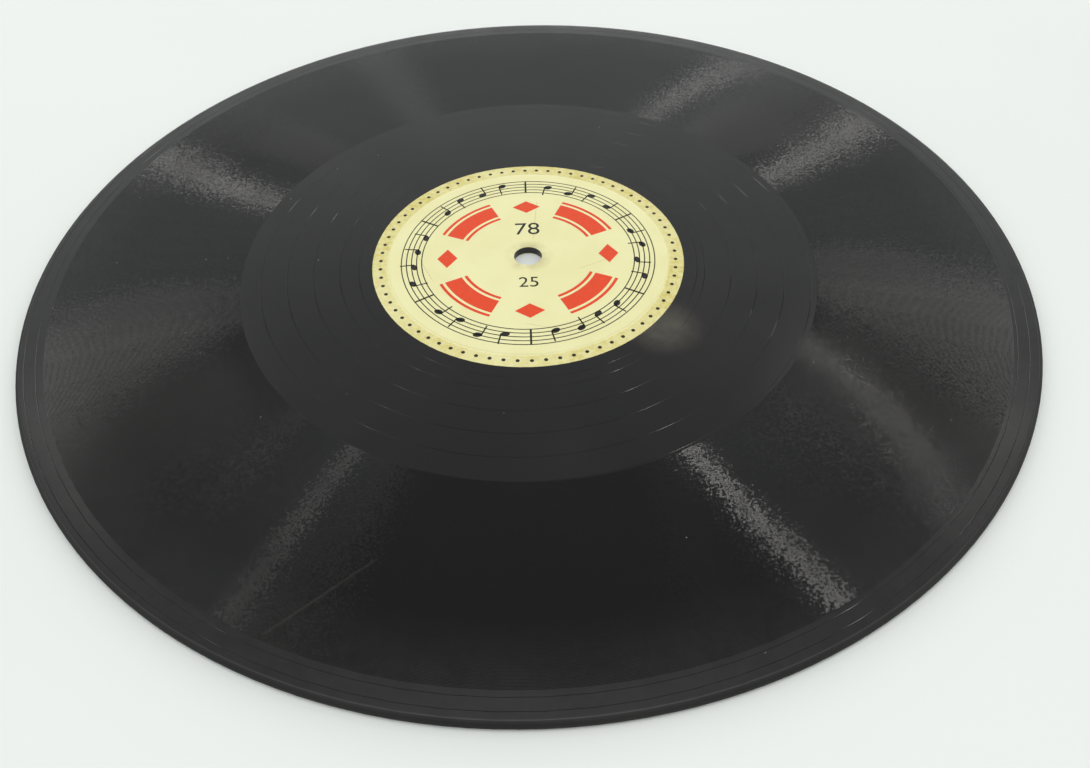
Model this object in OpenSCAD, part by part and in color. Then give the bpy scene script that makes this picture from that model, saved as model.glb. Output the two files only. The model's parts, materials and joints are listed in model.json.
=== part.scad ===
// Shellac gramophone record, 25 cm, 78 turns a minute: one pressed disc with a paper label bonded into each face.
// The origin is on the spindle axis, in the plane that the record lies on, and +Z points up out of the upper face.

/* [Disc] */
// Outer diameter of the record
disc_d = 250; // [200:1:310]
// Thickness between the two playing faces
disc_t = 2.2; // [1.8:0.1:3]
// Radius of the rounded corners of the rim
rim_round = 0.9; // [0.3:0.1:1.2]
// Diameter of the spindle hole
hole_d = 7.26; // [7.2:0.01:7.4]

/* [Labels] */
// Diameter of the paper labels
label_d = 80; // [70:1:100]
// Thickness of the label paper
label_t = 0.12; // [0.08:0.01:0.2]
// Depth of the label's face below the playing face
label_sink = 0.04; // [0.02:0.01:0.1]
// Distance from the label's edge to the ring that the press leaves in it
press_ring_inset = 4; // [2:0.5:8]
// Width of the press ring
press_ring_w = 0.8; // [0.4:0.1:1.5]
// Depth of the press ring
press_ring_depth = 0.1; // [0.02:0.01:0.15]

/* [Groove] */
// Width of the groove at the playing face
groove_w = 0.15; // [0.1:0.01:0.2]
// Angle between the two walls of the groove
groove_wall_angle = 90; // [80:1:100]
// Direction in which the upper groove starts at the rim, counted from +X
groove_start_angle = 90; // [0:1:359]
// Plain land between the rounded rim and the start of the groove
rim_land = 0.3; // [0.2:0.1:2]
// Width of the lead-in zone
lead_in_w = 5.2; // [3:0.1:8]
// Turns of the groove in the lead-in zone
lead_in_turns = 2; // [1:0.5:4]
// Width of the recorded band
recorded_w = 45.5; // [30:0.1:50]
// Turns drawn in the recorded band, each standing for ten real turns 0.26 mm apart
recorded_turns = 17.5; // [6:0.5:20]
// Turns of the groove in the lead-out zone
lead_out_turns = 4.5; // [2:0.5:6]
// Distance from the label's edge to the closed groove that stops the needle
locked_gap = 3.4; // [1:0.1:6]

/* [Hidden] */
$fn = 180;

// Overshoot of a cut past the face that it opens
over = 0.02;

disc_r = disc_d / 2;
hole_r = hole_d / 2;
label_r = label_d / 2;
// The rim's corners never meet, so a narrow straight edge stays between them
rim_r = min(rim_round, disc_t / 2 - over);

label_z = disc_t - label_sink;
recess_z = label_z - label_t;
press_ring_r = label_r - press_ring_inset;

groove_depth = groove_w / 2 / tan(groove_wall_angle / 2);
over_w = over * tan(groove_wall_angle / 2);
// Pitches are whole multiples of this step, so that the ends of all half turns meet exactly
pitch_step = 0.004;
function pitch_of(width, turns) = pitch_step * round(width / turns / pitch_step);
lead_in_r = disc_r - rim_r - rim_land;
lead_in_pitch = pitch_of(lead_in_w, lead_in_turns);
recorded_r = lead_in_r - lead_in_turns * lead_in_pitch;
recorded_pitch = pitch_of(recorded_w, recorded_turns);
lead_out_r = recorded_r - recorded_turns * recorded_pitch;
lead_out_pitch = pitch_of(lead_out_r - label_r - locked_gap, lead_out_turns);
locked_r = lead_out_r - lead_out_turns * lead_out_pitch;

// The groove is cut from this direction, clear of the seams of the round faces, and the cut disc is turned to its own
cut_angle = 60;
recorded_start_angle = cut_angle + 360 * lead_in_turns;
lead_out_start_angle = recorded_start_angle + 360 * recorded_turns;

// Outline of a label's face or of the floor under it, from the hole to the edge, with the press ring as a channel
function pressed_face(z) = [
    [hole_r, z],
    [press_ring_r - press_ring_w / 2, z],
    [press_ring_r, z - press_ring_depth],
    [press_ring_r + press_ring_w / 2, z],
    [label_r, z],
];

function reversed(points) = [for (i = [len(points) - 1 : -1 : 0]) points[i]];

// Turns what belongs to the upper face over, so that it belongs to the lower one
module on_lower_face() {
    translate([0, 0, disc_t]) rotate([180, 0, 0]) children();
}

// V section of the groove on a turn of radius r
module groove_section(r) {
    half_w = groove_w / 2 + over_w;
    translate([r, disc_t]) polygon([[-half_w, over], [half_w, over], [0, -groove_depth]]);
}

// Half turns of the groove about one centre
module half_turns(radii) {
    rotate_extrude(angle = 180) for (r = radii) groove_section(r);
}

// A zone of the groove, from radius start_r inwards and anticlockwise. Its half turns lie about two centres, a
// quarter of the pitch to either side of the spindle, so each meets the next in line and the groove is a spiral.
module groove_zone(start_r, pitch, turns, start_angle) {
    shift = pitch / 4;
    radii = [for (i = [0 : 2 * turns - 1]) start_r - i * pitch / 2 - shift];
    rotate(start_angle) {
        translate([shift, 0, 0])
            half_turns([for (i = [0 : 2 : len(radii) - 1]) radii[i]]);
        rotate(180) translate([shift, 0, 0])
            half_turns([for (i = [1 : 2 : len(radii) - 1]) radii[i]]);
    }
}

// The whole groove of one face: lead-in, recorded band, lead-out and the closed groove at its end
module groove() {
    groove_zone(lead_in_r, lead_in_pitch, lead_in_turns, cut_angle);
    groove_zone(recorded_r, recorded_pitch, recorded_turns, recorded_start_angle);
    groove_zone(lead_out_r, lead_out_pitch, lead_out_turns, lead_out_start_angle);
    rotate_extrude() groove_section(locked_r);
}

// Half section of the blank disc, with its round rim
module blank_section() {
    translate([hole_r, 0]) square([disc_r - rim_r - hole_r, disc_t]);
    translate([hole_r, rim_r]) square([disc_r - hole_r, disc_t - 2 * rim_r]);
    for (z = [rim_r, disc_t - rim_r])
        translate([disc_r - rim_r, z]) circle(rim_r);
}

// Half section of the space that a label lies in
module label_recess_section() {
    mouth = [[label_r, disc_t + over], [hole_r - over, disc_t + over], [hole_r - over, recess_z]];
    polygon(concat(pressed_face(recess_z), mouth));
}

// One paper label, pressed into the upper face
module label() {
    rotate_extrude() polygon(concat(pressed_face(recess_z), reversed(pressed_face(label_z))));
}

module shellac_disc() {
    color([0.09, 0.09, 0.1]) rotate(groove_start_angle - cut_angle) difference() {
        rotate_extrude() blank_section();
        rotate_extrude() label_recess_section();
        on_lower_face() rotate_extrude() label_recess_section();
        groove();
        on_lower_face() groove();
    }
}

module upper_label() {
    color([0.91, 0.89, 0.67]) label();
}

module lower_label() {
    color([0.91, 0.89, 0.67]) on_lower_face() label();
}

shellac_disc();
upper_label();
lower_label();
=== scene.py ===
# Shellac gramophone record: a pressed disc with its spiral groove, and a printed label in each face.

import json
import math

import bmesh
import bpy
from mathutils import Matrix, Vector


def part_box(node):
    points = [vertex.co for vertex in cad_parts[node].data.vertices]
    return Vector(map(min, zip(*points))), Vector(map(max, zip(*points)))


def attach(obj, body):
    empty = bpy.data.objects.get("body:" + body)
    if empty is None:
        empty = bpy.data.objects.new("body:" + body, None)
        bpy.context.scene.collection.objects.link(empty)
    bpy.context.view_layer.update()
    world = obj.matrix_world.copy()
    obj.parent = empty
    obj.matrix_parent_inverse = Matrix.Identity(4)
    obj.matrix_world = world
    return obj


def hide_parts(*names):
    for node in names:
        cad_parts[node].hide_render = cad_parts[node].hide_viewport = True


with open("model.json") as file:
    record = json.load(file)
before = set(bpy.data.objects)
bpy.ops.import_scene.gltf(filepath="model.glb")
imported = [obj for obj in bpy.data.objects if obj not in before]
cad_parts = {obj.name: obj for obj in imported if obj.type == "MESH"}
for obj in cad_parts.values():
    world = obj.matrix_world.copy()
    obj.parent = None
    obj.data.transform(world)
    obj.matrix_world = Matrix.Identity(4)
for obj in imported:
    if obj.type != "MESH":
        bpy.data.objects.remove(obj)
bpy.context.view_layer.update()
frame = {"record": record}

MM = 0.001

# Sizes of the pressing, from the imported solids
DISC_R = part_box("shellac_disc")[1].x
DISC_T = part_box("shellac_disc")[1].z
LABEL_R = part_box("upper_label")[1].x
LABEL_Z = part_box("upper_label")[1].z
MOUNTS = {mount["name"]: mount for mount in frame["record"]["mounts"]}
HOLE_R = MOUNTS["spindle_hole"]["dims"]["r_mm"] * MM

# Sizes of the rim and of the label's seat
RIM_ROUND = 0.9 * MM
RIM_ARC_STEPS = 5
PAPER_T = 0.12 * MM
RING_R = LABEL_R - 4 * MM
RING_W = 0.8 * MM
RING_DEPTH = 0.1 * MM

# Sizes of the groove, which runs inwards and anticlockwise
GROOVE_W = 0.15 * MM
GROOVE_DEPTH = 0.075 * MM
GROOVE_START = math.radians(90)
LEAD_IN_R = 123.8 * MM
LEAD_IN_TURNS = 2
RECORDED_R = 118.6 * MM
RECORDED_TURNS = 175.5
LEAD_OUT_R = 73.1 * MM
LEAD_OUT_TURNS = 4.5
LOCKED_R = LABEL_R + 3.4 * MM
LOCKED_EDGE_R = LOCKED_R + GROOVE_W / 2
TURNS = round(LEAD_IN_TURNS + RECORDED_TURNS + LEAD_OUT_TURNS)
TAPER_TURNS = 0.04

# Fineness of the meshes
STEPS = 88
WELD = 0.004 * MM
SHARP_ANGLE = math.radians(35)


# Small tools for meshes

def polar(radius, angle, z):
    return Vector((radius * math.cos(angle), radius * math.sin(angle), z))


def new_piece(name, bm, material, node):
    """Makes a bmesh a piece that rides on the record and takes its finish from a slot."""
    mesh = bpy.data.meshes.new(name)
    bm.to_mesh(mesh)
    bm.free()
    mesh.materials.append(material)
    piece = bpy.data.objects.new(name, mesh)
    bpy.context.scene.collection.objects.link(piece)
    if node:
        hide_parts(node)
    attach(piece, "root")
    return piece


def revolve(bm, section, start_angle, steps):
    """Turns an open section of (radius, height) points once round the spindle."""
    verts = [bm.verts.new(polar(radius, start_angle, z)) for radius, z in section]
    edges = [bm.edges.new(pair) for pair in zip(verts, verts[1:])]
    bmesh.ops.spin(bm, geom=verts + edges, cent=(0, 0, 0), axis=(0, 0, 1), angle=2 * math.pi,
                   steps=steps, use_merge=True)


def turn_over(bm, verts):
    """Carries vertices of the upper face over to the lower one."""
    middle = (0, 0, DISC_T / 2)
    bmesh.ops.rotate(bm, cent=middle, matrix=Matrix.Rotation(math.pi, 3, "X"), verts=verts)


def only_verts(items):
    return [item for item in items if isinstance(item, bmesh.types.BMVert)]


# The pressed disc

def groove_radius(turn):
    """Radius of the groove's middle after so many turns from the rim."""
    if turn < LEAD_IN_TURNS:
        return LEAD_IN_R + (RECORDED_R - LEAD_IN_R) * turn / LEAD_IN_TURNS
    turn -= LEAD_IN_TURNS
    if turn < RECORDED_TURNS:
        return RECORDED_R + (LEAD_OUT_R - RECORDED_R) * turn / RECORDED_TURNS
    turn -= RECORDED_TURNS
    return LEAD_OUT_R + (LOCKED_EDGE_R - LEAD_OUT_R) * turn / LEAD_OUT_TURNS


def groove_share(turn):
    """Share of the groove's full width and depth, which it loses at both of its ends."""
    return min(1, turn / TAPER_TURNS, (TURNS - turn) / TAPER_TURNS)


def groove_sheet(bm):
    """The playing face as one sheet, wound so that the end of each turn meets the start of the next."""
    stations = 3 * TURNS + 2
    bmesh.ops.create_grid(bm, x_segments=STEPS, y_segments=stations - 1, size=0.5)
    for vert in bm.verts:
        share = round((vert.co.x + 0.5) * STEPS) / STEPS
        station = round((vert.co.y + 0.5) * (stations - 1))
        angle = GROOVE_START + 2 * math.pi * share
        if station == 0:
            vert.co = polar(LEAD_IN_R, angle, DISC_T)
        elif station == stations - 1:
            vert.co = polar(LOCKED_EDGE_R, angle, DISC_T)
        else:
            turns_before, side = divmod(station - 1, 3)
            turn = turns_before + share
            size = groove_share(turn)
            out = (1 - side) * size * GROOVE_W / 2
            depth = size * GROOVE_DEPTH if side == 1 else 0
            vert.co = polar(groove_radius(turn) + out, angle, DISC_T - depth)


def rim_section():
    """From the start of the groove over the rounded rim, on the upper half."""
    section = [(LEAD_IN_R, DISC_T)]
    for step in range(RIM_ARC_STEPS + 1):
        angle = math.pi / 2 * (1 - step / RIM_ARC_STEPS)
        section.append((DISC_R - RIM_ROUND + RIM_ROUND * math.cos(angle),
                        DISC_T - RIM_ROUND + RIM_ROUND * math.sin(angle)))
    return section


def ring_points(z):
    """A label's face or the floor under it, from its edge to the hole, with the press ring."""
    return [(LABEL_R, z), (RING_R + RING_W / 2, z), (RING_R, z - RING_DEPTH),
            (RING_R - RING_W / 2, z), (HOLE_R, z)]


def inner_section():
    """From the closed groove over the label's seat to the hole, on the upper half."""
    closed_groove = [(LOCKED_EDGE_R, DISC_T), (LOCKED_R, DISC_T - GROOVE_DEPTH),
                     (LOCKED_R - GROOVE_W / 2, DISC_T)]
    return closed_groove + [(LABEL_R, DISC_T)] + ring_points(LABEL_Z - PAPER_T)


def both_halves(section):
    return section + [(radius, DISC_T - z) for radius, z in reversed(section)]


def round_outline(bm):
    """Halves the facets of the rim, outside the groove."""
    rings = []
    for edge in bm.edges:
        first, second = (Vector((vert.co.xy.length, vert.co.z)) for vert in edge.verts)
        if first.x > LEAD_IN_R + WELD and (first - second).length < WELD:
            rings.append(edge)
    cut = bmesh.ops.subdivide_edges(bm, edges=rings, cuts=1)
    swell = 1 / math.cos(math.pi / STEPS)
    bmesh.ops.scale(bm, vec=(swell, swell, 1), verts=only_verts(cut["geom_inner"]))


def pressed_disc(material):
    bm = bmesh.new()
    groove_sheet(bm)
    copy = bmesh.ops.duplicate(bm, geom=bm.verts[:] + bm.edges[:] + bm.faces[:])
    turn_over(bm, only_verts(copy["geom"]))
    revolve(bm, both_halves(rim_section()), GROOVE_START, STEPS)
    round_outline(bm)
    revolve(bm, both_halves(inner_section()), GROOVE_START, STEPS)
    bmesh.ops.remove_doubles(bm, verts=bm.verts, dist=WELD)
    bmesh.ops.recalc_face_normals(bm, faces=bm.faces)
    for face in bm.faces:
        face.smooth = True
    for edge in bm.edges:
        edge.smooth = edge.calc_face_angle(0) < SHARP_ANGLE
    return new_piece("pressed_disc", bm, material, "shellac_disc")


# The paper labels and their print

# Ink
INK_T = 0.012 * MM
INK_SUNK = 0.003 * MM

# Black print: a round stave with notes, two numbers and a ring of dots
STAVE_R = 27.4 * MM
STAVE_GAP = 1.3 * MM
STAVE_LINES = 5
STAVE_MIDDLE = STAVE_R + (STAVE_LINES - 1) / 2 * STAVE_GAP
STAVE_LINE_W = 0.28 * MM
STAVE_STEPS = 96
BARS = 6
BAR_LINE_W = 0.5 * MM
NOTES_PER_BAR = 4
NOTE_STEPS = (1, 4, 2, 5, 3, 6, 2, 4, 1, 5, 3, 2)
NOTE_L = 1.6 * MM
NOTE_W = 2.3 * MM
NOTE_LEAN = 0.35
NOTE_SIDES = 16
STEM_L = 3.6 * MM
STEM_W = 0.38 * MM
STEM_OFFSET = 0.95 * MM
FIRST_STEP_WITH_STEM_DOWN = 4
SPEED = "78"
SPEED_HEIGHT = 7 * MM
SPEED_Y = 11 * MM
DISC_SIZE = "25"
DISC_SIZE_HEIGHT = 5.4 * MM
DISC_SIZE_Y = -10.4 * MM
PEARLS = 72
PEARL_R = 37.9 * MM
PEARL_D = 1 * MM
PEARL_SIDES = 10

# Red print: four arcs with a thin line on either side, and four lozenges, angles in degrees
RED_R = 20.8 * MM
RED_W = 4.6 * MM
RED_LINE_W = 0.8 * MM
RED_LINE_OFFSET = 3.4 * MM
RED_START = 24
RED_END = 66
RED_STEPS = 24
LOZENGE_L = 5.2 * MM
LOZENGE_W = 7.4 * MM
LOZENGE_SIDES = 4


def label_paper(name, material, node, lower):
    bm = bmesh.new()
    face = ring_points(LABEL_Z)
    back = ring_points(LABEL_Z - PAPER_T)
    revolve(bm, face + list(reversed(back)) + face[:1], GROOVE_START, STEPS)
    bmesh.ops.remove_doubles(bm, verts=bm.verts, dist=WELD)
    if lower:
        turn_over(bm, bm.verts)
    bmesh.ops.recalc_face_normals(bm, faces=bm.faces)
    return new_piece(name, bm, material, node)


def arc_stroke(bm, radius, width, start, end, steps):
    """A curved stroke about the spindle, between two directions in degrees."""
    ends = [bm.verts.new(polar(radius + side * width / 2, math.radians(start), 0)) for side in (-1, 1)]
    edge = bm.edges.new(ends)
    bmesh.ops.spin(bm, geom=ends + [edge], cent=(0, 0, 0), axis=(0, 0, 1),
                   angle=math.radians(end - start), steps=steps, use_merge=end - start == 360)


def bar(bm, middle, length, width, turn):
    place = Matrix.Translation(middle) @ Matrix.Rotation(turn, 4, "Z")
    bmesh.ops.create_grid(bm, x_segments=1, y_segments=1, size=0.5,
                          matrix=place @ Matrix.Diagonal((length, width, 1, 1)))


def dot(bm, middle, length, width, turn, sides):
    place = Matrix.Translation(middle) @ Matrix.Rotation(turn, 4, "Z")
    bmesh.ops.create_circle(bm, cap_ends=True, segments=sides, radius=0.5,
                            matrix=place @ Matrix.Diagonal((length, width, 1, 1)))


def numeral(bm, digits, middle, height):
    """A plain number, centred on a point."""
    curve = bpy.data.curves.new("numeral", "FONT")
    curve.body = digits
    curve.size = height
    curve.align_x = "CENTER"
    curve.align_y = "CENTER"
    holder = bpy.data.objects.new("numeral", curve)
    mesh = bpy.data.meshes.new_from_object(holder)
    mesh.transform(Matrix.Translation(middle))
    bm.from_mesh(mesh)
    bpy.data.objects.remove(holder)
    bpy.data.meshes.remove(mesh)


def print_on(bm, name, material, lower):
    """Gives flat strokes the thickness of ink and lays them on a label."""
    bmesh.ops.remove_doubles(bm, verts=bm.verts, dist=WELD)
    bmesh.ops.recalc_face_normals(bm, faces=bm.faces)
    bmesh.ops.solidify(bm, geom=bm.faces[:], thickness=INK_T)
    lowest = min(vert.co.z for vert in bm.verts)
    bmesh.ops.translate(bm, vec=(0, 0, LABEL_Z - INK_SUNK - lowest), verts=bm.verts)
    if lower:
        turn_over(bm, bm.verts)
    bmesh.ops.recalc_face_normals(bm, faces=bm.faces)
    return new_piece(name, bm, material, None)


def note(bm, step, angle):
    """A note so many half gaps above the lowest line, with its stem up or down."""
    head_r = STAVE_R + step / 2 * STAVE_GAP
    dot(bm, polar(head_r, angle, 0), NOTE_L, NOTE_W, angle + NOTE_LEAN, NOTE_SIDES)
    side = 1 if step < FIRST_STEP_WITH_STEM_DOWN else -1
    stem = polar(head_r + side * STEM_L / 2, angle - side * STEM_OFFSET / head_r, 0)
    bar(bm, stem, STEM_L, STEM_W, angle)


def stave_ring(bm):
    """A round stave with notes, which closes on itself."""
    for line in range(STAVE_LINES):
        arc_stroke(bm, STAVE_R + line * STAVE_GAP, STAVE_LINE_W, 0, 360, STAVE_STEPS)
    places = BARS * (NOTES_PER_BAR + 1)
    for place in range(places):
        angle = math.pi / 2 - 2 * math.pi * place / places
        if place % (NOTES_PER_BAR + 1) == 0:
            bar(bm, polar(STAVE_MIDDLE, angle, 0), (STAVE_LINES - 1) * STAVE_GAP, BAR_LINE_W, angle)
        else:
            note(bm, NOTE_STEPS[place % len(NOTE_STEPS)], angle)


def black_print(bm):
    stave_ring(bm)
    numeral(bm, SPEED, (0, SPEED_Y, 0), SPEED_HEIGHT)
    numeral(bm, DISC_SIZE, (0, DISC_SIZE_Y, 0), DISC_SIZE_HEIGHT)
    for pearl in range(PEARLS):
        angle = 2 * math.pi * pearl / PEARLS
        dot(bm, polar(PEARL_R, angle, 0), PEARL_D, PEARL_D, angle, PEARL_SIDES)


def red_print(bm):
    strokes = ((RED_R, RED_W), (RED_R + RED_LINE_OFFSET, RED_LINE_W),
               (RED_R - RED_LINE_OFFSET, RED_LINE_W))
    for quarter in range(0, 360, 90):
        for radius, width in strokes:
            arc_stroke(bm, radius, width, quarter + RED_START, quarter + RED_END, RED_STEPS)
        angle = math.radians(quarter)
        dot(bm, polar(RED_R, angle, 0), LOZENGE_L, LOZENGE_W, angle, LOZENGE_SIDES)


# Small tools for materials

def add_node(tree, kind, inputs, **settings):
    """Adds a node; inputs holds the sockets that lead into it and the values that stand on it."""
    node = tree.nodes.new(kind)
    for name, value in settings.items():
        setattr(node, name, value)
    for key, value in inputs.items():
        if isinstance(value, bpy.types.NodeSocket):
            tree.links.new(value, node.inputs[key])
        else:
            node.inputs[key].default_value = value
    return node


def calc(tree, operation, first, second):
    node = add_node(tree, "ShaderNodeMath", {0: first, 1: second}, operation=operation)
    return node.outputs[0]


def vector_calc(tree, operation, *values):
    """A sum on vectors. A length, a distance or a dot product comes out as a number."""
    node = add_node(tree, "ShaderNodeVectorMath", dict(enumerate(values)), operation=operation)
    return node.outputs["Value" if operation in ("LENGTH", "DISTANCE", "DOT_PRODUCT") else "Vector"]


def ramp(tree, value, low, high, to_low=0.0, to_high=1.0):
    """A soft step from one value to another."""
    inputs = {"Value": value, "From Min": low, "From Max": high, "To Min": to_low, "To Max": to_high}
    return add_node(tree, "ShaderNodeMapRange", inputs, interpolation_type="SMOOTHSTEP").outputs[0]


def mix(tree, factor, first, second):
    node = add_node(tree, "ShaderNodeMix", {0: factor, 6: first, 7: second}, data_type="RGBA")
    return node.outputs[2]


def noise(tree, place, scale, detail=3.0, rough=0.5):
    """Noise about a half, with its scale in grains to the metre."""
    inputs = {"Vector": place, "Scale": scale, "Detail": detail, "Roughness": rough}
    return add_node(tree, "ShaderNodeTexNoise", inputs).outputs[0]


def swing(tree, pattern, amount):
    """Noise as a swing to both sides of zero."""
    return calc(tree, "MULTIPLY", calc(tree, "SUBTRACT", pattern, 0.5), amount)


def object_place(tree):
    return add_node(tree, "ShaderNodeTexCoord", {}).outputs["Object"]


def spindle_distance(tree, place):
    return vector_calc(tree, "LENGTH", vector_calc(tree, "MULTIPLY", place, (1, 1, 0)))


def new_material(name):
    material = bpy.data.materials.new(name)
    material.use_nodes = True
    return material, material.node_tree, material.node_tree.nodes["Principled BSDF"]


SPOT_SQUEEZE = 10
HAIRLINE_TAPER = 2 * MM


def spot(tree, place, middle, inner, outer):
    """A round soft mask on the upper face, sizes in millimetres, too shallow to reach the lower one."""
    squeeze = Vector((1, 1, SPOT_SQUEEZE))
    middle = Vector((middle[0] * MM, middle[1] * MM, DISC_T)) * squeeze
    away = vector_calc(tree, "DISTANCE", vector_calc(tree, "MULTIPLY", place, squeeze), middle)
    return ramp(tree, away, inner * MM, outer * MM, 1.0, 0.0)


def hairline(tree, place, start, end, width):
    """A thin straight mask between two points, sizes in millimetres."""
    start = Vector(start) * MM
    end = Vector(end) * MM
    width *= MM
    along = (end - start).normalized()
    across = Vector((-along.y, along.x))
    offset = vector_calc(tree, "SUBTRACT", place, (*((start + end) / 2), 0))
    spans = ((along, (end - start).length / 2, HAIRLINE_TAPER), (across, width, width / 2))
    masks = []
    for way, reach, edge in spans:
        run = calc(tree, "ABSOLUTE", vector_calc(tree, "DOT_PRODUCT", offset, (*way, 0)), 0)
        masks.append(ramp(tree, run, reach - edge, reach, 1.0, 0.0))
    return calc(tree, "MULTIPLY", *masks)


# The shellac compound

LAND_BLACK = (0.0095, 0.009, 0.009, 1)
LAND_HAZE = (0.0135, 0.013, 0.0125, 1)
BAND_BLACK = (0.0062, 0.0059, 0.0057, 1)
SCUFF_AND_SHEEN_GREY = (0.024, 0.0235, 0.023, 1)
STAIN_BROWN = (0.077, 0.07, 0.055, 1)
DUST_GREY = (0.24, 0.23, 0.21, 1)
SHELLAC_IOR = 1.5

# Strength of the scuffing and painted sheen at the band's edge, what the lead-in zone adds, and the share
# left at the rim, kept low there as painted shade
BAND_SCUFF_AND_SHEEN = 0.6
LEAD_IN_SCUFF_AND_SHEEN = 0.2
RIM_SHARE_IN_PAINTED_SHADE = 0.1
SCRATCH_STRENGTH = 0.05

# Single marks, by their places and sizes in millimetres
STAIN_PLACE = (32, -28.3)
STAIN_INNER = 1
STAIN_OUTER = 11
CHIP_PLACE = (-102.2, 71.6)
CHIP_INNER = 0.5
CHIP_OUTER = 0.9
LONG_SCRATCH = ((-51.7, -106.1), (-30.9, -89.8), 0.4)
FINE_SCRATCHES = (((70.0, 52.0), (84.0, 63.5), 0.07), ((-88.0, 20.0), (-79.0, 41.0), 0.07))

# Soft steps between the zones of the face, the last three by their distances from the rim
BAND_STEP = 0.1 * MM
SCUFF_AND_SHEEN_REACH = 16 * MM
LEAD_IN_STEP_INSIDE = 1 * MM
LEAD_IN_STEP_OUTSIDE = 0.8 * MM
# Where the painted shade on the rim is full
PAINTED_RIM_SHADE_END = 0.1 * MM
MATT_START = 1.1 * MM
MATT_FULL = 0.8 * MM

# The groove's sway along its run, and the lift of its walls in strokes and in grains
GRAIN_SCALE = 1700.0
LAND_SWAY = 0.03
BAND_SWAY = 0.16
DASH_SCALE = 2200.0
DASH_SQUEEZE = 0.22
DASH_LIFT = 0.1
LIFT_SCALE = 1900.0
GRAIN_LIFT = 0.2

# Roughness
POLISH_FINE = 0.1
POLISH_DULL = 0.17
BAND_GLOSS = 0.025
RIM_MATT = 0.75


def recorded_band(tree, radius):
    inside = ramp(tree, radius, LEAD_OUT_R - BAND_STEP, LEAD_OUT_R + BAND_STEP)
    outside = ramp(tree, radius, RECORDED_R - BAND_STEP, RECORDED_R + BAND_STEP, 1.0, 0.0)
    return calc(tree, "MULTIPLY", inside, outside)


def scuffs_and_painted_sheen(tree, place, radius):
    """Scuffing and painted sheen that lighten outwards over the band and the lead-in zone, and fade at the
    rim into painted shade.
    """
    band = ramp(tree, radius, RECORDED_R - SCUFF_AND_SHEEN_REACH, RECORDED_R, 0.0, BAND_SCUFF_AND_SHEEN)
    lead_in = ramp(tree, radius, RECORDED_R - LEAD_IN_STEP_INSIDE, RECORDED_R + LEAD_IN_STEP_OUTSIDE,
                   0.0, LEAD_IN_SCUFF_AND_SHEEN)
    # Painted shade: over the rounded rim the colour keeps only a small share of the lightening
    face = ramp(tree, radius, DISC_R - RIM_ROUND, DISC_R - PAINTED_RIM_SHADE_END, 1.0, RIM_SHARE_IN_PAINTED_SHADE)
    rubbed = ramp(tree, noise(tree, place, 260.0, 5.0, 0.65), 0.2, 0.7, 0.5, 1.0)
    outward = calc(tree, "MULTIPLY", calc(tree, "ADD", band, lead_in), face)
    return calc(tree, "MULTIPLY", outward, rubbed)


def stain(tree, place):
    cloud = ramp(tree, noise(tree, place, 350.0, 4.0), 0.25, 0.65, 0.65, 1.0)
    return calc(tree, "MULTIPLY", spot(tree, place, STAIN_PLACE, STAIN_INNER, STAIN_OUTER), cloud)


def dust_and_scratches(tree, place):
    """Dust specks in some cells of a Voronoi pattern, the scratches, and the chip at the rim."""
    cells = add_node(tree, "ShaderNodeTexVoronoi", {"Vector": place, "Scale": 170.0})
    picked = add_node(tree, "ShaderNodeSeparateColor", {0: cells.outputs["Color"]}).outputs[0]
    marks = calc(tree, "MULTIPLY", ramp(tree, cells.outputs["Distance"], 0.015, 0.035, 1.0, 0.0),
                 ramp(tree, picked, 0.72, 0.74))
    for start, end, width in (LONG_SCRATCH, *FINE_SCRATCHES):
        scratch = calc(tree, "MULTIPLY", hairline(tree, place, start, end, width), SCRATCH_STRENGTH)
        marks = calc(tree, "MAXIMUM", marks, scratch)
    return calc(tree, "MAXIMUM", marks, spot(tree, place, CHIP_PLACE, CHIP_INNER, CHIP_OUTER))


def groove_way(tree, place):
    """The direction in which the groove runs."""
    return vector_calc(tree, "NORMALIZE", vector_calc(tree, "CROSS_PRODUCT", (0, 0, 1), place))


def radial_dashes(tree, way, radius):
    """Noise in short strokes across the groove, alike on neighbouring turns."""
    height = add_node(tree, "ShaderNodeCombineXYZ", {2: calc(tree, "MULTIPLY", radius, DASH_SQUEEZE)})
    around = (RECORDED_R, RECORDED_R, RECORDED_R)
    wound = vector_calc(tree, "MULTIPLY_ADD", way, around, height.outputs[0])
    return noise(tree, wound, DASH_SCALE, 2.0)


def swayed_normal(tree, way, amount, lift):
    """The surface normal, swayed along the groove and lifted by small amounts."""
    along = add_node(tree, "ShaderNodeCombineXYZ", {0: amount, 1: amount}).outputs[0]
    upwards = add_node(tree, "ShaderNodeCombineXYZ", {2: lift}).outputs[0]
    sway = vector_calc(tree, "MULTIPLY_ADD", way, along, upwards)
    normal = add_node(tree, "ShaderNodeNewGeometry", {}).outputs["Normal"]
    return vector_calc(tree, "NORMALIZE", vector_calc(tree, "ADD", normal, sway))


def pressed_skin(tree, place, radius, recorded):
    """The fine grain that makes the band sparkle, and the skin of the pressing on top of it."""
    way = groove_way(tree, place)
    sway_amount = ramp(tree, recorded, 0.0, 1.0, LAND_SWAY, BAND_SWAY)
    sway = swing(tree, noise(tree, place, GRAIN_SCALE, 2.0), sway_amount)
    lift = calc(tree, "ADD", swing(tree, radial_dashes(tree, way, radius), DASH_LIFT),
                swing(tree, noise(tree, place, LIFT_SCALE, 2.0), GRAIN_LIFT))
    lift = calc(tree, "MULTIPLY", recorded, lift)
    inputs = {"Strength": 0.12, "Distance": 0.03 * MM, "Height": noise(tree, place, 2600.0, 3.0, 0.6),
              "Normal": swayed_normal(tree, way, sway, lift)}
    return add_node(tree, "ShaderNodeBump", inputs).outputs[0]


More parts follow.
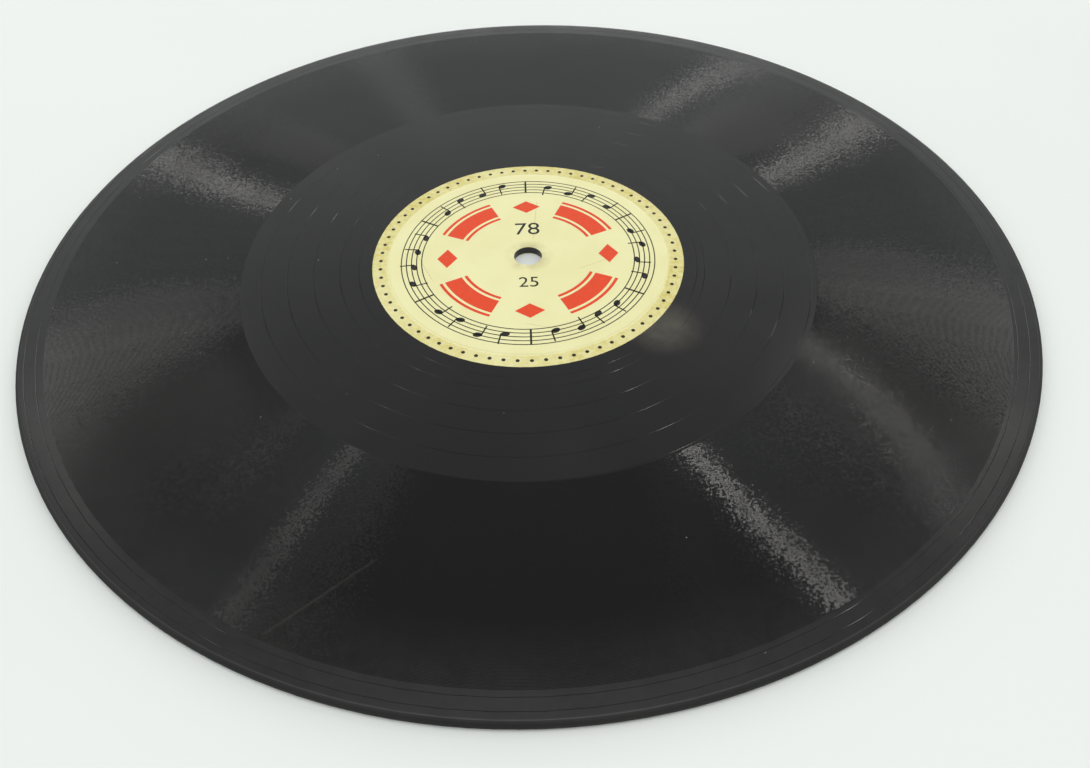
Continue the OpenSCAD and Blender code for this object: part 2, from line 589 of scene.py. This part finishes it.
def shellac_roughness(tree, place, radius, recorded):
    """A polish that varies a little and is finest in the band, with a matt rim."""
    polish = ramp(tree, noise(tree, place, 45.0, 5.0), 0.3, 0.75, POLISH_FINE, POLISH_DULL)
    polish = calc(tree, "SUBTRACT", polish, calc(tree, "MULTIPLY", recorded, BAND_GLOSS))
    rim = ramp(tree, radius, DISC_R - MATT_START, DISC_R - MATT_FULL, 0.0, RIM_MATT)
    return calc(tree, "ADD", polish, rim)


def shellac():
    """Near-black compound: glossy lands, a fine grain in the band, a scuffed edge lightened by painted
    sheen, a rim in painted shade, haze, a stain, dust.
    """
    material, tree, shader = new_material("shellac")
    place = object_place(tree)
    radius = spindle_distance(tree, place)
    recorded = recorded_band(tree, radius)
    haze = ramp(tree, noise(tree, place, 30.0, 4.0), 0.4, 0.75)
    colour = mix(tree, haze, LAND_BLACK, LAND_HAZE)
    colour = mix(tree, recorded, colour, BAND_BLACK)
    # Scuffs with a painted sheen that lightens the outer band and lead-in zone, and painted shade that
    # darkens the rim
    colour = mix(tree, scuffs_and_painted_sheen(tree, place, radius), colour, SCUFF_AND_SHEEN_GREY)
    colour = mix(tree, stain(tree, place), colour, STAIN_BROWN)
    colour = mix(tree, dust_and_scratches(tree, place), colour, DUST_GREY)
    tree.links.new(colour, shader.inputs["Base Color"])
    tree.links.new(pressed_skin(tree, place, radius, recorded), shader.inputs["Normal"])
    tree.links.new(shellac_roughness(tree, place, radius, recorded), shader.inputs["Roughness"])
    shader.inputs["IOR"].default_value = SHELLAC_IOR
    return material


# Label paper and ink

PAPER_CREAM = (0.81, 0.78, 0.42, 1)
PAPER_SHADE = (0.78, 0.74, 0.38, 1)
SOIL_YELLOW = (0.56, 0.45, 0.06, 1)
HALO_BROWN = (0.45, 0.37, 0.17, 1)
CREASE_BROWN = (0.42, 0.36, 0.17, 1)
HALO_REACH = 3.5 * MM

# Creases, by both ends and their width in millimetres
CREASES = (((1.5, 6), (3, 24)), ((-2, -25), (6, -27.5)), ((-24, -9), (-30, 5)), ((12, -6), (21, -2)))
CREASE_WIDTH = 0.12
CREASE_STRENGTH = 0.4

BLACK_INK = (0.011, 0.01, 0.008, 1)
BLACK_INK_WORN = (0.3, 0.28, 0.16, 1)
RED_INK = (0.74, 0.055, 0.008, 1)
RED_INK_WORN = (0.8, 0.4, 0.2, 1)
INK_SHINE = 0.3


def edge_soil(tree, place, radius):
    """Soil outside the press ring, in patches."""
    outside = ramp(tree, radius, RING_R - 0.2 * MM, RING_R + 0.6 * MM)
    fine = ramp(tree, noise(tree, place, 700.0, 6.0, 0.7), 0.36, 0.72, 0.3, 0.95)
    patches = ramp(tree, noise(tree, place, 32.0, 2.0), 0.35, 0.65, 0.45, 1.0)
    return calc(tree, "MULTIPLY", calc(tree, "MULTIPLY", outside, fine), patches)


def hole_halo(tree, place, radius):
    around = ramp(tree, radius, HOLE_R, HOLE_R + HALO_REACH, 0.55, 0.0)
    return calc(tree, "MULTIPLY", around, ramp(tree, noise(tree, place, 260.0, 4.0), 0.3, 0.7))


def paper():
    """Cream label paper: fibre, soil outside the press ring, a brown halo round the hole and creases."""
    material, tree, shader = new_material("label_paper")
    place = object_place(tree)
    radius = spindle_distance(tree, place)
    cloud = ramp(tree, noise(tree, place, 90.0, 4.0), 0.35, 0.7)
    colour = mix(tree, cloud, PAPER_CREAM, PAPER_SHADE)
    colour = mix(tree, edge_soil(tree, place, radius), colour, SOIL_YELLOW)
    colour = mix(tree, hole_halo(tree, place, radius), colour, HALO_BROWN)
    for start, end in CREASES:
        crease = calc(tree, "MULTIPLY", hairline(tree, place, start, end, CREASE_WIDTH), CREASE_STRENGTH)
        colour = mix(tree, crease, colour, CREASE_BROWN)
    tree.links.new(colour, shader.inputs["Base Color"])
    fibre = noise(tree, place, 3500.0, 4.0, 0.6)
    bump = add_node(tree, "ShaderNodeBump", {"Strength": 0.5, "Distance": 0.01 * MM, "Height": fibre})
    tree.links.new(bump.outputs[0], shader.inputs["Normal"])
    tree.links.new(ramp(tree, fibre, 0.3, 0.7, 0.5, 0.66), shader.inputs["Roughness"])
    return material


def ink(name, full, worn):
    """Printing ink, thin in places, where the paper's fibres show through."""
    material, tree, shader = new_material(name)
    place = object_place(tree)
    wear = ramp(tree, noise(tree, place, 1400.0, 5.0, 0.7), 0.58, 0.78, 0.0, 0.6)
    tree.links.new(mix(tree, wear, full, worn), shader.inputs["Base Color"])
    roughness = ramp(tree, noise(tree, place, 700.0), 0.3, 0.7, 0.42, 0.6)
    tree.links.new(roughness, shader.inputs["Roughness"])
    shader.inputs["Specular IOR Level"].default_value = INK_SHINE
    return material


# Pieces

shellac_material = shellac()
paper_material = paper()
black_ink = ink("black_ink", BLACK_INK, BLACK_INK_WORN)
red_ink = ink("red_ink", RED_INK, RED_INK_WORN)

pressed_disc(shellac_material)
for side, lower in (("upper", False), ("lower", True)):
    label_paper(side + "_label_paper", paper_material, side + "_label", lower)
    for colour, draw, material in (("black", black_print, black_ink), ("red", red_print, red_ink)):
        strokes = bmesh.new()
        draw(strokes)
        print_on(strokes, f"{side}_label_{colour}_print", material, lower)


# The floor

FLOOR_SIZE = 3
FLOOR_PALE = (0.79, 0.82, 0.795, 1)
FLOOR_PALER = (0.82, 0.84, 0.815, 1)
FLOOR_ROUGHNESS = 0.7
FLOOR_SHINE = 0.2


def pale_floor():
    material, tree, shader = new_material("pale_floor")
    cloud = ramp(tree, noise(tree, object_place(tree), 4.0, 3.0), 0.3, 0.7)
    tree.links.new(mix(tree, cloud, FLOOR_PALE, FLOOR_PALER), shader.inputs["Base Color"])
    shader.inputs["Roughness"].default_value = FLOOR_ROUGHNESS
    shader.inputs["Specular IOR Level"].default_value = FLOOR_SHINE
    return material


def floor():
    bm = bmesh.new()
    bmesh.ops.create_grid(bm, x_segments=1, y_segments=1, size=FLOOR_SIZE)
    mesh = bpy.data.meshes.new("floor")
    bm.to_mesh(mesh)
    bm.free()
    mesh.materials.append(pale_floor())
    piece = bpy.data.objects.new("floor", mesh)
    bpy.context.scene.collection.objects.link(piece)


# Light

LAMP_COLOUR = (1.0, 0.98, 0.94)
LAMP_DISTANCE = 4
ROOM_TINT = (0.96, 0.985, 1.0, 1)
HORIZON_LIGHT = 0.95
ZENITH_LIGHT = 0.22
CEILING_LIGHT = 0.85
CEILING_LIGHT_WAY = Vector((0, -0.45, 0.89))
FRONT_DIMMING = 0.92
SEEN_LIGHT = 0.9


def from_spindle(azimuth, height):
    """A place at the lamps' distance, by its direction in degrees."""
    level = math.cos(math.radians(height)) * LAMP_DISTANCE
    return polar(level, math.radians(azimuth), math.sin(math.radians(height)) * LAMP_DISTANCE)


def strip_lamp(name, foot, head, width, radiance):
    """A straight soft lamp between two directions, so many degrees wide, turned towards the spindle."""
    foot = from_spindle(*foot)
    head = from_spindle(*head)
    middle = (head + foot) / 2
    upright = (head - foot).normalized()
    sideways = upright.cross(middle).normalized()
    turn = Matrix((sideways, upright, sideways.cross(upright))).transposed()
    data = bpy.data.lights.new(name, "AREA")
    data.shape = "RECTANGLE"
    data.size = math.radians(width) * LAMP_DISTANCE
    data.size_y = (head - foot).length
    data.energy = radiance * math.pi * data.size * data.size_y
    data.color = LAMP_COLOUR
    holder = bpy.data.objects.new(name, data)
    holder.matrix_world = Matrix.Translation(middle) @ turn.to_4x4()
    bpy.context.scene.collection.objects.link(holder)


def sky():
    """A pale room, bright low down, dim above and low in front, with a ceiling light, white when seen."""
    world = bpy.data.worlds.new("room")
    bpy.context.scene.world = world
    world.use_nodes = True
    tree = world.node_tree
    background = tree.nodes["Background"]
    way = add_node(tree, "ShaderNodeTexCoord", {}).outputs["Generated"]
    place = add_node(tree, "ShaderNodeSeparateXYZ", {0: way})
    light = ramp(tree, place.outputs["Z"], 0.2, 1.0, HORIZON_LIGHT, ZENITH_LIGHT)
    overhead = vector_calc(tree, "DOT_PRODUCT", way, CEILING_LIGHT_WAY)
    light = calc(tree, "ADD", light, ramp(tree, overhead, 0.55, 0.75, 0.0, CEILING_LIGHT))
    low_front = calc(tree, "MULTIPLY", ramp(tree, place.outputs["Y"], -0.65, -0.35, 1.0, 0.0),
                     ramp(tree, place.outputs["Z"], 0.62, 0.8, FRONT_DIMMING, 0.0))
    light = calc(tree, "MULTIPLY", light, calc(tree, "SUBTRACT", 1.0, low_front))
    seen = add_node(tree, "ShaderNodeLightPath", {}).outputs["Is Camera Ray"]
    strength = add_node(tree, "ShaderNodeMix", {0: seen, 2: light, 3: SEEN_LIGHT})
    tree.links.new(strength.outputs[0], background.inputs["Strength"])
    background.inputs["Color"].default_value = ROOM_TINT


# The camera, as fitted to the photograph

IMAGE_W = 1090
SENSOR_W = 36
FOCAL_PIXELS = 972.0
CAMERA_PLACE = Vector((0, -195.57, 162.75)) * MM
CAMERA_TILT = math.radians(46.927)
CAMERA_PAN = math.radians(1.054)
CAMERA_ROLL = math.radians(-1.357)
NEAREST_SEEN = 5 * MM


def camera():
    data = bpy.data.cameras.new("camera")
    data.sensor_width = SENSOR_W
    data.lens = SENSOR_W * FOCAL_PIXELS / IMAGE_W
    data.clip_start = NEAREST_SEEN
    holder = bpy.data.objects.new("camera", data)
    forward = Vector((math.sin(CAMERA_PAN) * math.cos(CAMERA_TILT),
                      math.cos(CAMERA_PAN) * math.cos(CAMERA_TILT), -math.sin(CAMERA_TILT)))
    level = forward.cross(Vector((0, 0, 1))).normalized()
    upright = level.cross(forward)
    right = math.cos(CAMERA_ROLL) * level + math.sin(CAMERA_ROLL) * upright
    up = math.cos(CAMERA_ROLL) * upright - math.sin(CAMERA_ROLL) * level
    turn = Matrix((right, up, -forward)).transposed().to_4x4()
    holder.matrix_world = Matrix.Translation(CAMERA_PLACE) @ turn
    bpy.context.scene.collection.objects.link(holder)
    bpy.context.scene.camera = holder


floor()
# Each lamp: the azimuth and height of its two ends and its width, all in degrees, and its radiance
strip_lamp("top_light", (270, 79), (90, 79), 22, 3.2)
strip_lamp("left_back_light", (152.6, 27), (164.3, 48), 2.2, 6.8)
strip_lamp("left_tube", (214, 50.9), (187, 55.5), 2, 6.2)
strip_lamp("left_front_light", (212.5, 9), (203, 33), 2.8, 3.0)
strip_lamp("right_back_light", (31.8, 24), (21, 45), 2.2, 6.2)
strip_lamp("right_high_light", (322, 50), (322, 63), 8.5, 0.8)
strip_lamp("right_front_light", (329, 9), (322.5, 36), 2.4, 12.5)
strip_lamp("right_low_light", (24, 5.0), (-10, 5.4), 0.9, 30.0)
strip_lamp("left_side_light", (166, 40), (192, 49), 7, 0.85)
strip_lamp("right_side_light", (12, 41), (-4, 46.5), 7, 0.75)
strip_lamp("left_sheen", (115, 43), (131, 43.5), 8, 0.45)
strip_lamp("right_sheen", (67, 43.5), (48, 46), 8, 0.6)
strip_lamp("back_low_light", (57, 11), (127, 11), 17, 1.1)
strip_lamp("back_middle_light", (64, 11), (119, 11), 15, 1.3)
sky()
camera()
bpy.context.scene.view_settings.view_transform = "Standard"
